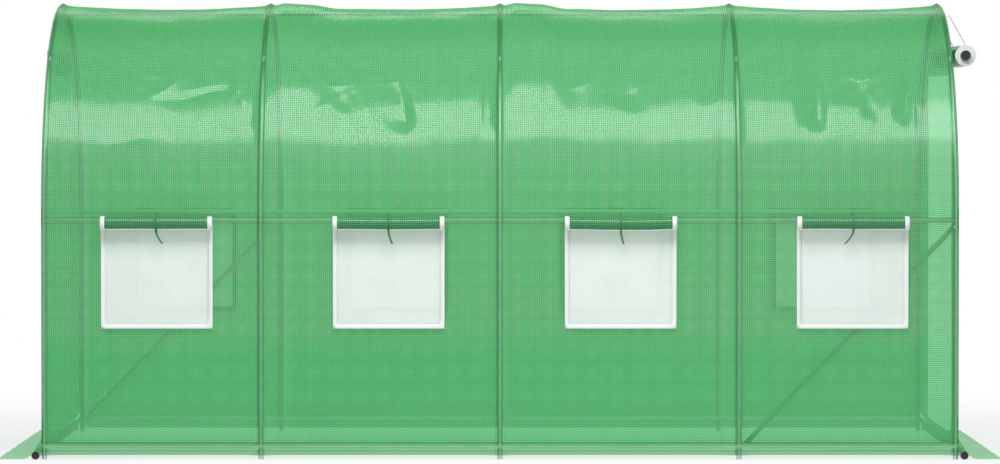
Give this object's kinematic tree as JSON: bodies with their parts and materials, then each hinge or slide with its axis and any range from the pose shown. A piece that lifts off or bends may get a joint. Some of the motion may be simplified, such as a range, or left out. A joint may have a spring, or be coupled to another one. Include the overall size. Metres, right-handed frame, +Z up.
{
  "type": "polytunnel greenhouse",
  "caption": "Walk-in round-top greenhouse with a steel hoop frame, a green reinforced film cover, roll-up side windows with mesh screens and a roll-up end door.",
  "frame": {"origin": "middle of the footprint, at ground level", "axes": "+X along the ridge towards the open end, +Y across the tunnel towards the back, +Z up"},
  "size_m": [4.6996, 2.1708, 2.1518],
  "materials": {
    "galvanised_tube": "galvanised, dull sheen",
    "clip_steel": "zinc plated",
    "cover_film": "translucent green film with a square scrim",
    "screen_mesh": "fine white insect mesh",
    "closing_tape": "white hook-and-loop tape",
    "strap": "green woven strap",
    "door_strap": "light grey woven strap",
    "plug_plastic": "black moulded plug"
  },
  "bodies": {
    "root": {"front_legs": "galvanised_tube", "back_legs": "galvanised_tube", "hoop_1_arch": "galvanised_tube", "hoop_2_arch": "galvanised_tube", "hoop_3_arch": "galvanised_tube", "hoop_4_arch": "galvanised_tube", "hoop_5_arch": "galvanised_tube", "ridge_rail": "galvanised_tube", "mid_rails": "galvanised_tube", "bottom_rails": "galvanised_tube", "end_rails": "galvanised_tube", "braces": "galvanised_tube", "ground_bars": "galvanised_tube", "right_door_bar": "galvanised_tube", "ridge_clips": "clip_steel", "mid_clips": "clip_steel", "bottom_clips": "clip_steel", "brace_bushes": "clip_steel", "front_wall_lower": "cover_film", "front_wall_header": "cover_film", "front_wall_piers": "cover_film", "back_wall_lower": "cover_film", "back_wall_header": "cover_film", "back_wall_piers": "cover_film", "roof_cover_1": "cover_film", "roof_cover_2": "cover_film", "roof_cover_3": "cover_film", "roof_cover_4": "cover_film", "roof_cover_5": "cover_film", "roof_cover_6": "cover_film", "roof_cover_7": "cover_film", "roof_cover_8": "cover_film", "right_end_gable": "cover_film", "right_end_sides": "cover_film", "left_end_gable": "cover_film", "left_end_sides": "cover_film", "left_door": "cover_film", "right_door_roll": "cover_film", "right_door_head": "cover_film", "left_skirt": "cover_film", "right_skirt": "cover_film", "window_rolls": "cover_film", "window_screens": "screen_mesh", "window_tapes": "closing_tape", "window_ties": "strap", "door_ties": "door_strap", "bar_plugs": "plug_plastic", "door_bar_plugs": "plug_plastic"}
  },
  "joints": []
}
